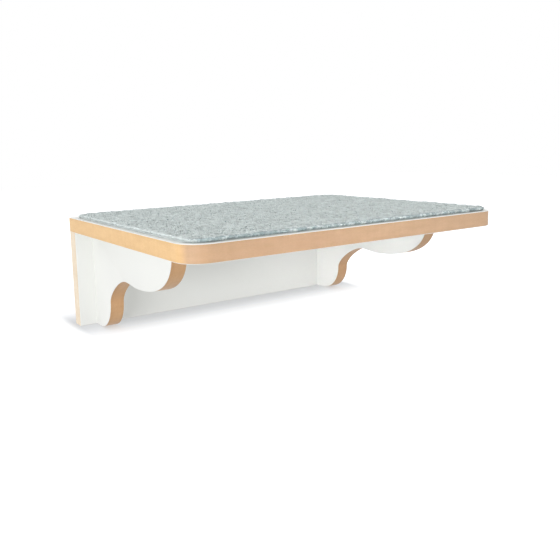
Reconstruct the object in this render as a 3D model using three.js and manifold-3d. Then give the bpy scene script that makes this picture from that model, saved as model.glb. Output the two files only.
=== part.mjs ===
// A cat wall shelf: a carpeted board that stands on a back plate and on two curved brackets.
// All panels are white-faced fibreboard with bare tan edges. Sizes are in millimetres, Z is up.
// X runs along the wall and the shelf reaches out towards -Y. The wall is the plane Y = 0.
// Every function below measures heights from the board's underside; the last lines lift the
// whole shelf so that its origin is the middle of the back plate's rear face.

import * as THREE from "three";
import { mergeVertices } from "three/addons/utils/BufferGeometryUtils.js";
import Module from "manifold-3d";

const wasm = await Module();
wasm.setup();

// Panels, all cut from one sheet: a fibreboard core between two thin white faces
const panelThickness = 18;
const faceThickness = 0.5;

// Board, with rounded front corners
const boardWidth = 425;
const boardDepth = 315;
const boardCornerRadius = 25;

// Back plate, as wide as the board
const plateHeight = 119;

// Brackets, set in from the board's ends and as tall as the plate. Depths run forward from
// the plate's front, drops run down from the board's underside.
const bracketInset = 21.5;
const bracketReach = 221.5;
const legDepth = 50.5;
const footRadius = 36;
const legRise = 12;
const archDepth = 102;
const archDrop = 48.5;
const archRun = 20;
const archLead = 10;
const lobeDepth = 133.5;
const lobeDrop = 51;
const lobeLead = 12;
const lobeRun = 49.5;
const noseDrop = 36.5;

// Carpet mat: short pile on a felt backing, inside a white rim, on two rows of hook strips. A
// strip ends short of the mat's end and of the row's other strip, and its middle is set in
// from the mat's front or back.
const matInset = 7;
const matCornerRadius = 18;
const backingThickness = 1.7;
const pileThickness = 2.2;
const hookWidth = 20;
const hookThickness = 1;
const hookEndGap = 60.5;
const hookMiddleGap = 70;
const hookSideInset = 33;

// Panel screws, through the board and through the plate into the brackets
const panelScrew = {
  length: 50, collar: 15, headRadius: 5, headRim: 0.8, neckRadius: 3.5, rootRadius: 2.5,
  pitch: 4, tip: 4, recessWidth: 1.6, recessSpan: 6, recessDepth: 2.6,
};
const boardScrewDepths = [60, 165];
const plateScrewDrops = [28, 88];

// Dowels between the plate's top edge and the board, the outer ones set in from its ends
const dowelRadius = 4;
const dowelLength = 30;
const dowelInBoard = 12;
const dowelChamfer = 1;
const dowelInset = 52.5;

// Keyhole hangers, let into the plate's rear face, each beside a bracket's middle
const hangerInset = 42;
const hangerDrop = 39.5;
const hangerLength = 60;
const hangerWidth = 20;
const hangerThickness = 2;
const keyholeRadius = 5;
const keyholeDrop = 6;
const slotRadius = 2.5;
const slotRise = 9;
const headPocketRadius = 7;
const headPocketDepth = 6;
const hangerScrewReach = 22;
const hangerScrew = {
  length: 12, collar: 3, headRadius: 3, headRim: 0.2, neckRadius: 1.5, rootRadius: 1.1,
  pitch: 2, tip: 2, recessWidth: 0.7, recessSpan: 3.2, recessDepth: 1.1,
};

// Clearances: round screws, dowels and strips, past the end of a screw or dowel, and the
// overrun of a cutter
const fitGap = 0.3;
const endGap = 1;
const overrun = 2;

// Fineness of arcs and of turned pieces
const curveSegments = 12;
const turnedSides = 12;

const bracketX = boardWidth / 2 - bracketInset - panelThickness / 2;
const sides = [{ name: "left", x: -bracketX }, { name: "right", x: bracketX }];
const corePlanes = [faceThickness, panelThickness - faceThickness];
const up = new THREE.Vector3(0, 1, 0);
const facingUp = new THREE.Quaternion().setFromUnitVectors(up, new THREE.Vector3(0, 0, 1));
const facingWall = new THREE.Quaternion();

const finish = (color, roughness, metalness = 0) => ({ color, roughness, metalness });
const finishes = {
  core: finish(0xd9ac7a, 0.6),
  face: finish(0xf4f4f0, 0.35),
  pile: finish(0xb3c1c1, 1),
  backing: finish(0x8b9496, 0.95),
  hook: finish(0xe8e8e2, 0.5),
  beech: finish(0xd8b98a, 0.7),
  zinc: finish(0xb9bcc0, 0.35, 1),
};

function mesh(name, geometry, kind) {
  const part = new THREE.Mesh(geometry, new THREE.MeshStandardMaterial(finishes[kind]));
  part.name = name;
  return part;
}

// Three ways to set a flat outline: seen from above, from the front and from the side
const lying = (u, v, level) => [u, v, level];
const upright = (u, v, level) => [u, -level, v];
const sideways = (u, v, level) => [level, u, v];

// A flat piece of an outline, exactly between two planes
function slab(outline, [low, high], place) {
  const geometry = new THREE.ExtrudeGeometry(outline, { depth: 1, bevelEnabled: false, curveSegments });
  const points = geometry.getAttribute("position");
  for (let i = 0; i < points.count; i += 1) {
    const level = points.getZ(i) > 0 ? high : low;
    points.setXYZ(i, ...place(points.getX(i), points.getY(i), level));
  }
  return geometry;
}

// A turned piece whose profile runs up the axis, in pairs of radius and height
function turned(profile) {
  return new THREE.LatheGeometry(profile.map(([r, h]) => new THREE.Vector2(r, h)), turnedSides);
}

function toSolid(geometry) {
  const bare = new THREE.BufferGeometry();
  bare.setAttribute("position", geometry.getAttribute("position").clone());
  if (geometry.index) bare.setIndex(geometry.index.clone());
  const merged = mergeVertices(bare);
  const corners = merged.index.array;
  const kept = [];
  for (let i = 0; i < corners.length; i += 3) {
    const [a, b, c] = corners.slice(i, i + 3);
    if (a !== b && b !== c && c !== a) kept.push(a, b, c);
  }
  const vertProperties = new Float32Array(merged.getAttribute("position").array);
  return new wasm.Manifold(new wasm.Mesh({ numProp: 3, vertProperties, triVerts: new Uint32Array(kept) }));
}

function toGeometry(solid) {
  const { vertProperties, triVerts } = solid.getMesh();
  const indexed = new THREE.BufferGeometry();
  indexed.setAttribute("position", new THREE.BufferAttribute(vertProperties, 3));
  indexed.setIndex(new THREE.BufferAttribute(triVerts, 1));
  const geometry = indexed.toNonIndexed();
  geometry.computeVertexNormals();
  return geometry;
}

// Takes every cutter away from a piece
function cut(geometry, cutters) {
  const left = cutters.reduce((solid, cutter) => solid.subtract(toSolid(cutter)), toSolid(geometry));
  return toGeometry(left);
}

function moved(geometry, x, y, z, turn = facingWall) {
  return geometry.clone().applyQuaternion(turn).translate(x, y, z);
}

// The same place for a finished piece
function placed(part, x, y, z, turn = facingWall) {
  part.position.set(x, y, z);
  part.quaternion.copy(turn);
  return part;
}

// A countersunk screw: its head's top is at height zero and it points down
function screw(size) {
  const { length, collar, headRadius, headRim, neckRadius, rootRadius, pitch, tip } = size;
  const profile = [[0, -length], [rootRadius, tip - length]];
  const turns = Math.floor((length - tip - collar) / pitch);
  for (let i = 0; i < turns; i += 1) {
    const low = tip - length + i * pitch;
    profile.push([neckRadius, low + pitch / 2], [rootRadius, low + pitch]);
  }
  profile.push([rootRadius, -collar], [neckRadius, -collar]);
  profile.push([neckRadius, neckRadius - headRadius - headRim], [headRadius, -headRim]);
  profile.push([headRadius, 0], [0, 0]);
  return cut(turned(profile), crossRecess(size));
}

function crossRecess({ recessWidth, recessSpan, recessDepth }) {
  const bar = new THREE.BoxGeometry(recessSpan, recessDepth * 2, recessWidth);
  return [bar, bar.clone().rotateY(Math.PI / 2)];
}

// The hole that a countersunk screw needs, with its clearance
function screwHole({ length, headRadius, headRim, neckRadius }) {
  const bore = neckRadius + fitGap;
  const mouth = headRadius + fitGap;
  const bottom = -length - endGap;
  return turned([
    [0, bottom], [bore, bottom], [bore, neckRadius - headRadius - headRim - fitGap],
    [mouth, -headRim], [mouth, overrun], [0, overrun],
  ]);
}

// Places of the screws: the board's from above, the plate's from behind
const boardScrewPlaces = sides.flatMap(({ x }) => boardScrewDepths.map(
  (depth) => [x, -panelThickness - depth, panelThickness - fitGap, facingUp],
));
const plateScrewPlaces = sides.flatMap(({ x }) => plateScrewDrops.map(
  (drop) => [x, -fitGap, -drop, facingWall],
));
const dowelX = boardWidth / 2 - dowelInset;
const dowelPlaces = [-dowelX, 0, dowelX].map((x) => [x, -panelThickness / 2, 0]);
const hangerX = bracketX - hangerInset;
const hangerPlaces = [-hangerX, hangerX].map((x) => [x, 0, -hangerDrop]);
const hangerScrewOffsets = [-hangerScrewReach, hangerScrewReach];
const hangerScrewPlaces = hangerPlaces.flatMap(([x, , z]) => hangerScrewOffsets.map(
  (offset) => [x, -fitGap, z + offset, facingWall],
));

const boardScrewHoles = boardScrewPlaces.map((place) => moved(screwHole(panelScrew), ...place));
const plateScrewHoles = plateScrewPlaces.map((place) => moved(screwHole(panelScrew), ...place));
const hangerScrewHoles = hangerScrewPlaces.map((place) => moved(screwHole(hangerScrew), ...place));

// A dowel, from its end in the plate to its end in the board, and the hole for it
function dowel() {
  const low = dowelInBoard - dowelLength;
  const thin = dowelRadius - dowelChamfer;
  return turned([
    [0, low], [thin, low], [dowelRadius, low + dowelChamfer],
    [dowelRadius, dowelInBoard - dowelChamfer], [thin, dowelInBoard], [0, dowelInBoard],
  ]);
}

function dowelHole() {
  const bore = dowelRadius + fitGap;
  const low = dowelInBoard - dowelLength - endGap;
  const high = dowelInBoard + endGap;
  return turned([[0, low], [bore, low], [bore, high], [0, high]]);
}

const dowelHoles = dowelPlaces.map((place) => moved(dowelHole(), ...place, facingUp));

function boardOutline() {
  const half = boardWidth / 2;
  const corner = half - boardCornerRadius;
  const front = boardCornerRadius - boardDepth;
  const outline = new THREE.Shape();
  outline.moveTo(half, 0);
  outline.lineTo(-half, 0);
  outline.absarc(-corner, front, boardCornerRadius, Math.PI, 1.5 * Math.PI);
  outline.absarc(corner, front, boardCornerRadius, 1.5 * Math.PI, 2 * Math.PI);
  return outline;
}

function board() {
  const outline = boardOutline();
  const [coreLow, coreHigh] = corePlanes;
  const group = new THREE.Group();
  const core = cut(slab(outline, corePlanes, lying), [...boardScrewHoles, ...dowelHoles]);
  const top = cut(slab(outline, [coreHigh, panelThickness], lying), boardScrewHoles);
  const bottom = cut(slab(outline, [0, coreLow], lying), [...boardScrewHoles, ...dowelHoles]);
  group.add(mesh("board_core", core, "core"));
  group.add(mesh("board_top_face", top, "face"));
  group.add(mesh("board_bottom_face", bottom, "face"));
  return group;
}

function plateOutline() {
  const half = boardWidth / 2;
  const outline = new THREE.Shape();
  outline.moveTo(-half, -plateHeight);
  outline.lineTo(half, -plateHeight);
  outline.lineTo(half, 0);
  outline.lineTo(-half, 0);
  return outline;
}

// An upright slot with round ends, from one centre height to another
function slotOutline(radius, low, high) {
  const outline = new THREE.Shape();
  outline.absarc(0, high, radius, 0, Math.PI);
  outline.absarc(0, low, radius, Math.PI, 2 * Math.PI);
  return outline;
}

const hangerEnd = (hangerLength - hangerWidth) / 2;
const hangerSeat = fitGap + hangerThickness;

// The shallow seat of a hanger and the deeper pocket for the head of the wall screw
function hangerPocket() {
  const seat = slotOutline(hangerWidth / 2 + fitGap, -hangerEnd, hangerEnd);
  const pocket = slotOutline(headPocketRadius, -keyholeDrop, slotRise);
  return [
    slab(seat, [-overrun, hangerSeat], upright),
    slab(pocket, [0, hangerSeat + headPocketDepth], upright),
  ];
}

function hanger() {
  const blank = slab(slotOutline(hangerWidth / 2, -hangerEnd, hangerEnd), [fitGap, hangerSeat], upright);
  const through = [0, hangerSeat + overrun];
  return cut(blank, [
    slab(slotOutline(slotRadius, -keyholeDrop, slotRise), through, upright),
    slab(slotOutline(keyholeRadius, -keyholeDrop, -keyholeDrop), through, upright),
    ...hangerScrewOffsets.map((z) => moved(screwHole(hangerScrew), 0, -fitGap, z)),
  ]);
}

const hangerPockets = hangerPlaces.flatMap(
  (place) => hangerPocket().map((cutter) => moved(cutter, ...place)),
);

function backPlate() {
  const outline = plateOutline();
  const [coreRear, coreFront] = corePlanes;
  const rearCutters = [...plateScrewHoles, ...hangerPockets];
  const group = new THREE.Group();
  const core = cut(slab(outline, corePlanes, upright), [...rearCutters, ...dowelHoles, ...hangerScrewHoles]);
  const rear = cut(slab(outline, [0, coreRear], upright), rearCutters);
  const front = cut(slab(outline, [coreFront, panelThickness], upright), plateScrewHoles);
  group.add(mesh("plate_core", core, "core"));
  group.add(mesh("plate_rear_face", rear, "face"));
  group.add(mesh("plate_front_face", front, "face"));
  return group;
}

// The bracket seen from the side: foot, leg, arch, lobe and nose. Its corner at the plate's
// front and the board's underside is the outline's zero.
function bracketOutline() {
  const footTop = footRadius - plateHeight;
  const outline = new THREE.Shape();
  const curve = (...points) => outline.bezierCurveTo(...points.flat());
  outline.moveTo(0, 0);
  outline.lineTo(0, -plateHeight);
  outline.absarc(footRadius - legDepth, footTop, footRadius, 1.5 * Math.PI, Math.PI, true);
  curve([-legDepth, footTop + legRise], [archRun - archDepth, -archDrop], [-archDepth, -archDrop]);
  curve([-archDepth - archLead, -archDrop], [lobeLead - lobeDepth, -lobeDrop], [-lobeDepth, -lobeDrop]);
  curve([-lobeDepth - lobeRun, -lobeDrop], [-bracketReach, -noseDrop], [-bracketReach, 0]);
  return outline;
}

// One bracket in its own frame, with its pilot holes. Its outer face looks away from the
// shelf's middle.
function bracket({ name, x }) {
  const half = panelThickness / 2;
  const inner = half - faceThickness;
  const [outerFace, innerFace] = x < 0 ? [[-half, -inner], [inner, half]] : [[inner, half], [-half, -inner]];
  const outline = bracketOutline();
  const pilots = [...boardScrewHoles, ...plateScrewHoles].map((hole) => moved(hole, -x, panelThickness, 0));
  const group = new THREE.Group();
  const core = cut(slab(outline, [-inner, inner], sideways), pilots);
  group.add(mesh(`${name}_bracket_core`, core, "core"));
  group.add(mesh(`${name}_bracket_outer_face`, slab(outline, outerFace, sideways), "face"));
  group.add(mesh(`${name}_bracket_inner_face`, slab(outline, innerFace, sideways), "face"));
  return placed(group, x, -panelThickness, 0);
}

// A rectangle with round corners, between two places each way
function roundedOutline(left, right, front, back, radius) {
  const corners = [[right, back], [left, back], [left, front], [right, front]];
  const outline = new THREE.Shape();
  corners.forEach(([x, y], i) => {
    const centreX = x - Math.sign(x) * radius;
    const centreY = y === back ? y - radius : y + radius;
    outline.absarc(centreX, centreY, radius, (i * Math.PI) / 2, ((i + 1) * Math.PI) / 2);
  });
  return outline;
}

const hookLength = boardWidth / 2 - matInset - hookEndGap - hookMiddleGap / 2;

function hookStrips() {
  const column = (hookMiddleGap + hookLength) / 2;
  const rows = [-matInset - hookSideInset, matInset + hookSideInset - boardDepth];
  return rows.flatMap((y) => [-column, column].map((x) => [x, y]));
}

function hookBlock(grow, [low, high]) {
  const long = hookLength + 2 * grow;
  const wide = hookWidth + 2 * grow;
  return new THREE.BoxGeometry(long, wide, high - low).translate(0, 0, (low + high) / 2);
}

// The mat lies just above the board; its backing has shallow seats for the hook strips
function mat() {
  const half = boardWidth / 2 - matInset;
  const outline = roundedOutline(-half, half, matInset - boardDepth, -matInset, matCornerRadius);
  const seat = panelThickness + fitGap;
  const pileFoot = seat + backingThickness;
  const stripTop = panelThickness + hookThickness + fitGap;
  const seats = hookStrips().map(([x, y]) => moved(hookBlock(fitGap, [panelThickness, stripTop]), x, y, 0));
  const group = new THREE.Group();
  group.add(mesh("mat_backing", cut(slab(outline, [seat, pileFoot], lying), seats), "backing"));
  group.add(mesh("mat_pile", slab(outline, [pileFoot, pileFoot + pileThickness], lying), "pile"));
  return group;
}

// Copies of one piece, numbered and set in their places
function copies(name, geometry, kind, places) {
  const group = new THREE.Group();
  places.forEach((place, i) => {
    group.add(placed(mesh(`${name}_${i + 1}`, geometry, kind), ...place));
  });
  return group;
}

const hookGeometry = hookBlock(0, [0, hookThickness]);
const hookPlaces = hookStrips().map(([x, y]) => [x, y, panelThickness]);

const shelf = new THREE.Group();
shelf.add(board(), backPlate(), ...sides.map(bracket), mat());
shelf.add(copies("hook_strip", hookGeometry, "hook", hookPlaces));
shelf.add(copies("dowel", dowel(), "beech", dowelPlaces.map((place) => [...place, facingUp])));
shelf.add(copies("board_screw", screw(panelScrew), "zinc", boardScrewPlaces));
shelf.add(copies("plate_screw", screw(panelScrew), "zinc", plateScrewPlaces));
shelf.add(copies("hanger", hanger(), "zinc", hangerPlaces));
shelf.add(copies("hanger_screw", screw(hangerScrew), "zinc", hangerScrewPlaces));

// The origin is the middle of the back plate's rear face
shelf.position.z = plateHeight / 2;

export default shelf;
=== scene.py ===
import math
from types import SimpleNamespace

import bmesh
import bpy
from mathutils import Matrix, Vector
from mathutils.geometry import interpolate_bezier


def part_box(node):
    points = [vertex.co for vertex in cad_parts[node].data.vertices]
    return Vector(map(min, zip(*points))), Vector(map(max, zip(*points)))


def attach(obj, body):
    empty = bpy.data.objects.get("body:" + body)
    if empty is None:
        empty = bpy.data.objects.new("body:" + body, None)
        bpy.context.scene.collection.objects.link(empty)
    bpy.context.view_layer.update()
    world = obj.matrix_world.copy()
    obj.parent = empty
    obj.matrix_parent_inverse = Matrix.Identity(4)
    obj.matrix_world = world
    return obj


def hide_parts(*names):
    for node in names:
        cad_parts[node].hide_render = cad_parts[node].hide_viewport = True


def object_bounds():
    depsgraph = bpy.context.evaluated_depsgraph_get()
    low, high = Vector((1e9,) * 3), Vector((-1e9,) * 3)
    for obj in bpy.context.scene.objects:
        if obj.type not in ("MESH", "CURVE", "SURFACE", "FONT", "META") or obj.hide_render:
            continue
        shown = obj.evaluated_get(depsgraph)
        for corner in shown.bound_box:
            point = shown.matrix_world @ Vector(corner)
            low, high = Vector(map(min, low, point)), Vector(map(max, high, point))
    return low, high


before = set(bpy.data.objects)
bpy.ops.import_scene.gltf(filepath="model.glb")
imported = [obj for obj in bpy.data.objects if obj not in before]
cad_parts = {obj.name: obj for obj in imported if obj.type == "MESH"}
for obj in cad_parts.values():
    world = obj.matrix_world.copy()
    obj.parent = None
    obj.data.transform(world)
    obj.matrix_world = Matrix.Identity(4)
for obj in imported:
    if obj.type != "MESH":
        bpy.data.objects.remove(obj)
cad_low, cad_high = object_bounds()

# Back plate: the upright panel that lies on the wall, as wide as the board. It is fibreboard with a
# white melamine skin on both sides, sawn from 18 mm sheet. Its bare edges are sanded and lacquered.
# Drilled for the bracket screws and dowels, with a seat and a head pocket for each hanger behind.

# A piece is drawn flat and then set lying, upright or sideways: these say which of the flat
# drawing's width, height and level becomes X, Y and Z.
LYING = (0, 1, 2)
UPRIGHT = (0, 2, 1)
SIDEWAYS = (2, 0, 1)

# Sharp corners between faces that meet at more than this are kept crisp when the rest is smoothed
CRISP_ANGLE = math.radians(28)
ROUND_SIDES = 48
CLEARANCE = 0.0003


def placed(name, data):
    """A new object in the scene, of a mesh, a lamp or a camera."""
    thing = bpy.data.objects.new(name, data)
    bpy.context.scene.collection.objects.link(thing)
    return thing


def skinned(name, *shells):
    """An object of closed shells. A shell is a list of rings of points, capped at both ends."""
    shape = bmesh.new()
    for rings in shells:
        layers = [[shape.verts.new(point) for point in ring] for ring in rings]
        faces = [shape.faces.new(layers[0]), shape.faces.new(layers[-1])]
        for lower, upper in zip(layers, layers[1:]):
            for i in range(len(lower)):
                faces.append(shape.faces.new((lower[i - 1], lower[i], upper[i], upper[i - 1])))
        bmesh.ops.recalc_face_normals(shape, faces=faces)
    mesh = bpy.data.meshes.new(name)
    shape.to_mesh(mesh)
    shape.free()
    return smoothed(placed(name, mesh))


def smoothed(piece, crisp=CRISP_ANGLE):
    piece.data.shade_smooth()
    piece.data.set_sharp_from_angle(angle=crisp)
    return piece


def inset(outline, distance):
    """An anticlockwise outline drawn in by a distance, with mitred corners."""
    inner = []
    for i, here in enumerate(outline):
        before = (here - outline[i - 1]).normalized()
        after = (outline[(i + 1) % len(outline)] - here).normalized()
        inward = Vector((-before.y, before.x)) + Vector((-after.y, after.x))
        inner.append(here + inward * (distance / (1 + before.dot(after))))
    return inner


def loft(outline, steps, order, place=(0, 0, 0)):
    """The rings of a flat shell: the outline at each step's inset and level."""
    rings = []
    for distance, level in steps:
        flat = [(u, v, level) for u, v in inset(outline, distance)]
        rings.append([[point[axis] + at for axis, at in zip(order, place)] for point in flat])
    return rings


def turned(profile, place=(0, 0, 0), order=LYING, sides=ROUND_SIDES, swell=None):
    """The rings of a turned shell. The profile runs along the axis in pairs of radius and height;
    swell adds to the radius what it gives for an angle and a height."""
    rings = []
    for radius, height in profile:
        ring = []
        for i in range(sides):
            angle = 2 * math.pi * i / sides
            reach = radius + (swell(angle, height) if swell else 0)
            flat = (reach * math.cos(angle), reach * math.sin(angle), height)
            ring.append([flat[axis] + at for axis, at in zip(order, place)])
        rings.append(ring)
    return rings


def arc(centre, radius, start, end, steps):
    """Points on an arc, from one angle to another, in degrees."""
    angles = [math.radians(start + (end - start) * i / steps) for i in range(steps + 1)]
    return [Vector(centre) + radius * Vector((math.cos(a), math.sin(a))) for a in angles]


def rectangle(left, low, right, high):
    """The corners of a rectangle, anticlockwise."""
    return [Vector(corner) for corner in ((left, low), (right, low), (right, high), (left, high))]


def baked(piece):
    """Leaves the piece with what its modifiers made, as a plain mesh."""
    evaluated = piece.evaluated_get(bpy.context.evaluated_depsgraph_get())
    shape = bpy.data.meshes.new_from_object(evaluated)
    piece.modifiers.clear()
    piece.data = shape
    return smoothed(piece)


def carved(piece, *cutters):
    """Takes every cutter away from the piece."""
    for cutter in cutters:
        saw = piece.modifiers.new("saw", "BOOLEAN")
        saw.object = cutter
        saw.solver = "EXACT"
    return baked(piece)


def thrown_away(*objects):
    for used in objects:
        bpy.data.objects.remove(used)


def linear(hex_colour):
    """An sRGB hex colour as linear red, green, blue and alpha."""
    shares = [int(hex_colour[i:i + 2], 16) / 255 for i in (1, 3, 5)]
    return [c / 12.92 if c <= 0.04045 else ((c + 0.055) / 1.055) ** 2.4 for c in shares] + [1]


def linked(tree, node, inputs):
    """Sets a node's inputs. Each takes a value, a hex colour, an output, or a node, which stands for
    its first output in use."""
    for socket, value in inputs.items():
        if isinstance(value, bpy.types.Node):
            value = next(output for output in value.outputs if output.enabled)
        if isinstance(value, str) and value.startswith("#"):
            value = linear(value)
        if isinstance(value, bpy.types.NodeSocket):
            tree.links.new(value, node.inputs[socket])
        else:
            node.inputs[socket].default_value = value
    return node


def add_node(tree, kind, inputs, **settings):
    """A new node, with its inputs and its settings."""
    node = tree.nodes.new(kind)
    for setting, value in settings.items():
        setattr(node, setting, value)
    return linked(tree, node, inputs)


# The colour inputs of a Mix node, whose names its number inputs share
COLOUR_A, COLOUR_B = 6, 7


def surface(name, values):
    """A new material, its tree and the piece's own coordinates."""
    material = bpy.data.materials.new(name)
    material.use_nodes = True
    tree = material.node_tree
    linked(tree, tree.nodes["Principled BSDF"], values)
    return material, tree, add_node(tree, "ShaderNodeTexCoord", {}).outputs["Object"]


def finished(material, relief, colour=None, gloss=None):
    """Gives a surface its finish. Relief is a height, with its strength and its depth in metres, and
    gloss is a pattern, with the roughness where it is low and where it is high."""
    tree = material.node_tree
    height, strength, depth = relief
    looks = {"Normal": add_node(tree, "ShaderNodeBump", {
        "Height": height, "Strength": strength, "Distance": depth,
    })}
    if colour:
        looks["Base Color"] = colour
    if gloss:
        pattern, low, high = gloss
        looks["Roughness"] = add_node(tree, "ShaderNodeMapRange", {
            "Value": pattern, "To Min": low, "To Max": high,
        })
    linked(tree, tree.nodes["Principled BSDF"], looks)
    return material


def grain(tree, coordinates, sizes, detail=2.0):
    """Noise whose lumps are about so many metres long along X, Y and Z, from 0 to 1."""
    scaled = add_node(tree, "ShaderNodeMapping", {"Vector": coordinates, "Scale": [1 / s for s in sizes]})
    noise = add_node(tree, "ShaderNodeTexNoise", {"Vector": scaled, "Scale": 1, "Detail": detail})
    return noise.outputs["Fac"]


# How far to the side an edge has to face before it takes a sheet end's painted light
END_STARTS = 0.78


def fibreboard_edge(name, node, order, lacquer, painted_light_end_colours=None):
    """Medium-density fibreboard, sanded and clear-lacquered: a warm tan with short flecks that lie
    in the sheet, denser and darker next to its faces, and faint marks left by the cutter. Lacquer
    is its palest and its darkest colour. A sheet's ends, which face along X, can have a pair of their
    own, which paints light on them."""
    material, tree, at = surface(name, {"Roughness": 0.46, "IOR": 1.5})
    axis = order.index(2)
    low, high = (corner[axis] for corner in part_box(node))

    def lumps(length, thickness, detail=2.0):
        """Noise whose lumps are so long in the sheet, and so thick through it."""
        sizes = [length] * 3
        sizes[axis] = thickness
        return grain(tree, at, sizes, detail)

    def lacquered(pale, dark):
        return add_node(tree, "ShaderNodeMix", {
            "Factor": mixed, COLOUR_A: pale, COLOUR_B: dark,
        }, data_type="RGBA")

    # Real fibre bundles are about 0.3 by 1.5 mm; these are drawn 0.6 by 2.4 mm, to show
    flecks = lumps(0.0024, 0.0006, 3)
    mottles = lumps(0.022, 0.006)
    marks = lumps(0.0045, 0.25)
    level = add_node(tree, "ShaderNodeSeparateXYZ", {0: at}).outputs[axis]
    middle = (low + high) / 2
    away = add_node(tree, "ShaderNodeMath", {0: level, 1: middle}, operation="SUBTRACT")
    depth = add_node(tree, "ShaderNodeMath", {0: away}, operation="ABSOLUTE")
    shade = add_node(tree, "ShaderNodeMapRange", {
        "Value": depth, "From Min": 0.5 * (high - middle), "From Max": high - middle,
        "To Min": 0, "To Max": 0.3,
    })
    for source, weight in ((flecks, 0.9), (mottles, 0.9), (marks, 0.4)):
        lean = add_node(tree, "ShaderNodeMath", {0: source, 1: 0.5}, operation="SUBTRACT")
        shade = add_node(tree, "ShaderNodeMath", {0: lean, 1: weight, 2: shade}, operation="MULTIPLY_ADD")
    mixed = add_node(tree, "ShaderNodeMapRange", {"Value": shade, "From Min": -0.5, "From Max": 0.7})
    colour = lacquered(*lacquer)
    if painted_light_end_colours:
        # The ends' share of the painted light, by how far the edge faces along X
        facing = add_node(tree, "ShaderNodeTexCoord", {}).outputs["Normal"]
        sideways = add_node(tree, "ShaderNodeSeparateXYZ", {0: facing}).outputs["X"]
        endwise = add_node(tree, "ShaderNodeMath", {0: sideways}, operation="ABSOLUTE")
        share = add_node(tree, "ShaderNodeMapRange", {"Value": endwise, "From Min": END_STARTS},
                         interpolation_type="SMOOTHSTEP")
        colour = add_node(tree, "ShaderNodeMix", {
            "Factor": share, COLOUR_A: colour, COLOUR_B: lacquered(*painted_light_end_colours),
        }, data_type="RGBA")
    return finished(material, (shade, 0.25, 0.0001), colour, (flecks, 0.38, 0.56))


def melamine():
    """White melamine skin, pressed smooth: a satin white with a very slight orange peel."""
    material, tree, at = surface("white_melamine", {"Roughness": 0.38, "IOR": 1.5})
    peel = grain(tree, at, [0.0018] * 3)
    cloud = grain(tree, at, [0.06] * 3)
    colour = add_node(tree, "ShaderNodeMix", {
        "Factor": cloud, COLOUR_A: "#f4f5f1", COLOUR_B: "#f0f1ee",
    }, data_type="RGBA")
    return finished(material, (peel, 0.2, 0.00006), colour, (cloud, 0.33, 0.43))


def fitted(piece, material, nodes, body="shelf"):
    """Gives a finished piece its material and its place in the frame."""
    piece.data.materials.clear()
    piece.data.materials.append(material)
    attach(piece, body)
    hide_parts(*nodes)


SKIN_ARRIS = 0.0003
# The arris is rounded: halfway round it lies this far in from the square corner, both ways
ARRIS_BELLY = SKIN_ARRIS * 0.3
white = melamine()


def core(name, node, outline, order, material, cutters):
    """A panel's fibreboard middle, with square edges."""
    low, high = (corner[order.index(2)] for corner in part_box(node))
    piece = carved(skinned(name, loft(outline, [(0, low), (0, high)], order)), *cutters)
    fitted(piece, material, [node])


def face(name, node, outline, order, outward, cutters):
    """A panel's melamine skin, whose outer edge is eased. Outward is 1 or -1 along its axis."""
    inner, outer = sorted((corner[order.index(2)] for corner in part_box(node)), reverse=outward < 0)
    steps = [
        (0, inner), (0, outer - outward * SKIN_ARRIS),
        (ARRIS_BELLY, outer - outward * ARRIS_BELLY), (SKIN_ARRIS, outer),
    ]
    piece = carved(skinned(name, loft(outline, steps, order)), *cutters)
    fitted(piece, white, [node])


def head_of(node, order):
    """The middle of a fastener's end that faces up or towards the wall."""
    low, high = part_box(node)
    place = (low + high) / 2
    axis = order.index(2)
    place[axis] = high[axis]
    return place


# Head, neck and root are radii, and the thread ends where the collar begins
panel_screw = SimpleNamespace(
    length=0.050, collar=0.015, head=0.005, rim=0.0008, neck=0.0035, root=0.0025, pitch=0.003, tip=0.004,
    recess_width=0.0016, recess_span=0.006, recess_depth=0.0026,
)
hanger_screw = SimpleNamespace(
    length=0.012, collar=0.003, head=0.003, rim=0.0002, neck=0.0015, root=0.0011, pitch=0.0012, tip=0.002,
    recess_width=0.0007, recess_span=0.0032, recess_depth=0.0011,
)
CUTTER_OVERRUN = 0.002
SCREW_END_GAP = 0.001


def numbered(name, count):
    """The names of so many like nodes."""
    return [f"{name}_{i + 1}" for i in range(count)]


def screw_drill(name, size, nodes, order):
    """A cutter for the holes that countersunk screws need."""
    bore = size.neck + CLEARANCE
    mouth = size.head + CLEARANCE
    throat = size.neck - size.head - size.rim - CLEARANCE
    profile = [
        (bore, -size.length - SCREW_END_GAP), (bore, throat), (mouth, -size.rim),
        (mouth, CUTTER_OVERRUN),
    ]
    return skinned(name, *(turned(profile, head_of(node, order), order) for node in nodes))


dowel_radius = 0.004
dowel_nodes = numbered("dowel", 3)


def dowel_hole(node):
    low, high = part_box(node)
    bore = dowel_radius + CLEARANCE
    length = high.z - low.z
    return turned([(bore, -length - SCREW_END_GAP), (bore, SCREW_END_GAP)], head_of(node, LYING))


hanger_nodes = numbered("hanger", 2)
hanger_screw_nodes = numbered("hanger_screw", 4)
plate_screw_nodes = numbered("plate_screw", 4)
keyhole_drop = 0.006
slot_rise = 0.009
pocket_radius = 0.007
pocket_depth = 0.006
POCKET_STEPS = 24


def slot_outline(radius, low, high):
    """An upright slot with round ends, between two centre heights."""
    return arc((0, high), radius, 0, 180, POCKET_STEPS) + arc((0, low), radius, 180, 360, POCKET_STEPS)


def hanger_measures(node):
    """A hanger's box, its middle, and its round ends' radius and distance from the middle."""
    low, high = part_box(node)
    radius = (high.x - low.x) / 2
    middle = ((low.x + high.x) / 2, 0, (low.z + high.z) / 2)
    return low, high, middle, radius, (high.z - low.z) / 2 - radius


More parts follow.
